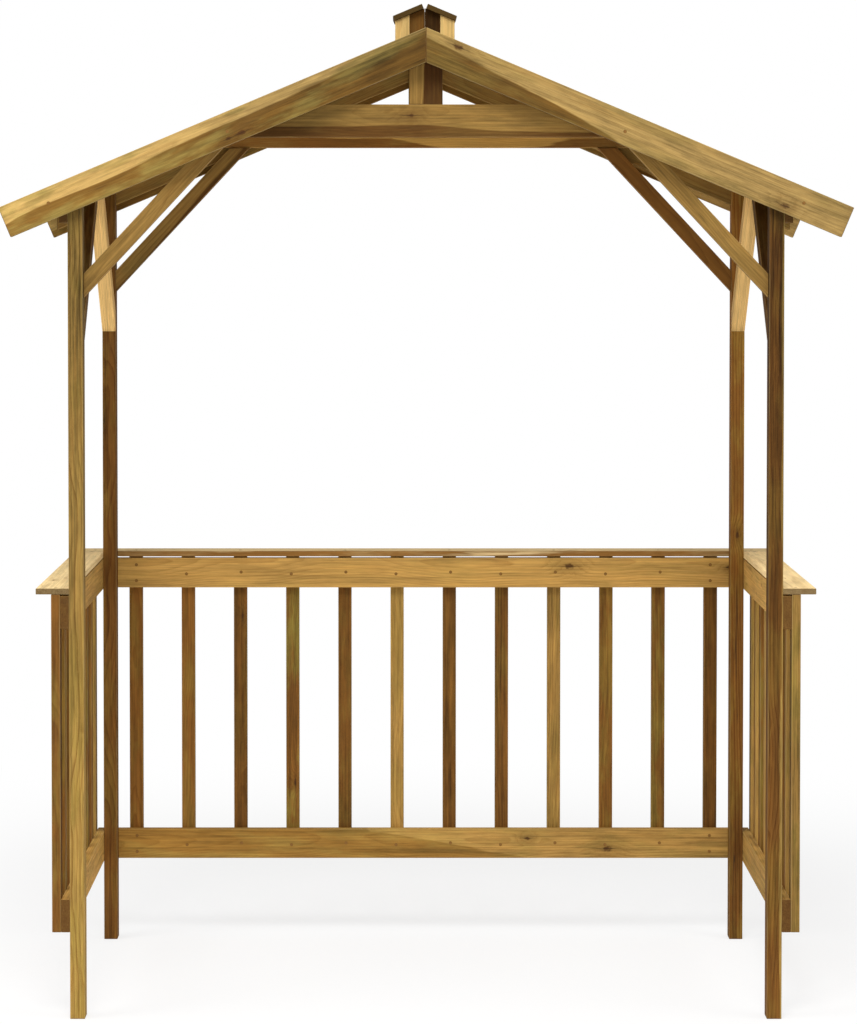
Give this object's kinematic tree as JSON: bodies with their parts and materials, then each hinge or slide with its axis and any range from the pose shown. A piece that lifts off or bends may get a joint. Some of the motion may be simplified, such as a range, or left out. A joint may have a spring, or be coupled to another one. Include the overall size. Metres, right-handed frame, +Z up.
{
  "type": "barbecue shelter",
  "caption": "Free-standing open timber barbecue shelter with a pitched plank roof, a small ridge chimney and a slatted counter round three sides.",
  "frame": {"origin": "centre of the bounding box at ground level, under the four posts' feet", "axes": "+Z up, +X to the viewer's right along the width, +Y from the open front towards the back counter"},
  "size_m": [2, 0.998, 2.4188],
  "materials": {
    "post_timber": "rough sawn, pressure treated, unpainted",
    "frame_timber": "rough sawn, pressure treated, unpainted",
    "bargeboard_timber": "rough sawn, pressure treated, unpainted",
    "roof_timber": "rough sawn, pressure treated, unpainted",
    "rail_timber": "rough sawn, pressure treated, unpainted",
    "slat_timber": "rough sawn, pressure treated, unpainted",
    "shelf_timber": "rough sawn, pressure treated, unpainted",
    "chimney_timber": "rough sawn, pressure treated, unpainted",
    "chimney_panel_timber": "rough sawn, pressure treated, unpainted",
    "fixing_steel": "countersunk screw heads, zinc plated, browned by the weather"
  },
  "bodies": {
    "root": {"post_front_left": "post_timber", "post_front_right": "post_timber", "post_back_left": "post_timber", "post_back_right": "post_timber", "rafter_front_left": "frame_timber", "rafter_front_right": "frame_timber", "rafter_back_left": "frame_timber", "rafter_back_right": "frame_timber", "bargeboard_front_left": "bargeboard_timber", "bargeboard_front_right": "bargeboard_timber", "bargeboard_back_left": "bargeboard_timber", "bargeboard_back_right": "bargeboard_timber", "collar_tie_front": "frame_timber", "collar_tie_back": "frame_timber", "king_post_front": "frame_timber", "king_post_back": "frame_timber", "cross_brace_front_left": "frame_timber", "cross_brace_front_right": "frame_timber", "cross_brace_back_left": "frame_timber", "cross_brace_back_right": "frame_timber", "side_brace_front_left": "frame_timber", "side_brace_front_right": "frame_timber", "side_brace_back_left": "frame_timber", "side_brace_back_right": "frame_timber", "eave_beam_left": "frame_timber", "eave_beam_right": "frame_timber", "roof_boards_left": "roof_timber", "roof_boards_right": "roof_timber", "rail_top_left": "rail_timber", "rail_top_right": "rail_timber", "rail_top_back": "rail_timber", "rail_bottom_left": "rail_timber", "rail_bottom_right": "rail_timber", "rail_bottom_back": "rail_timber", "slats_left": "slat_timber", "slats_right": "slat_timber", "slats_back": "slat_timber", "shelf_left": "shelf_timber", "shelf_right": "shelf_timber", "shelf_back": "shelf_timber", "chimney_studs": "chimney_timber", "chimney_panels": "chimney_panel_timber", "chimney_cap_left": "chimney_timber", "chimney_cap_right": "chimney_timber"}
  },
  "joints": []
}
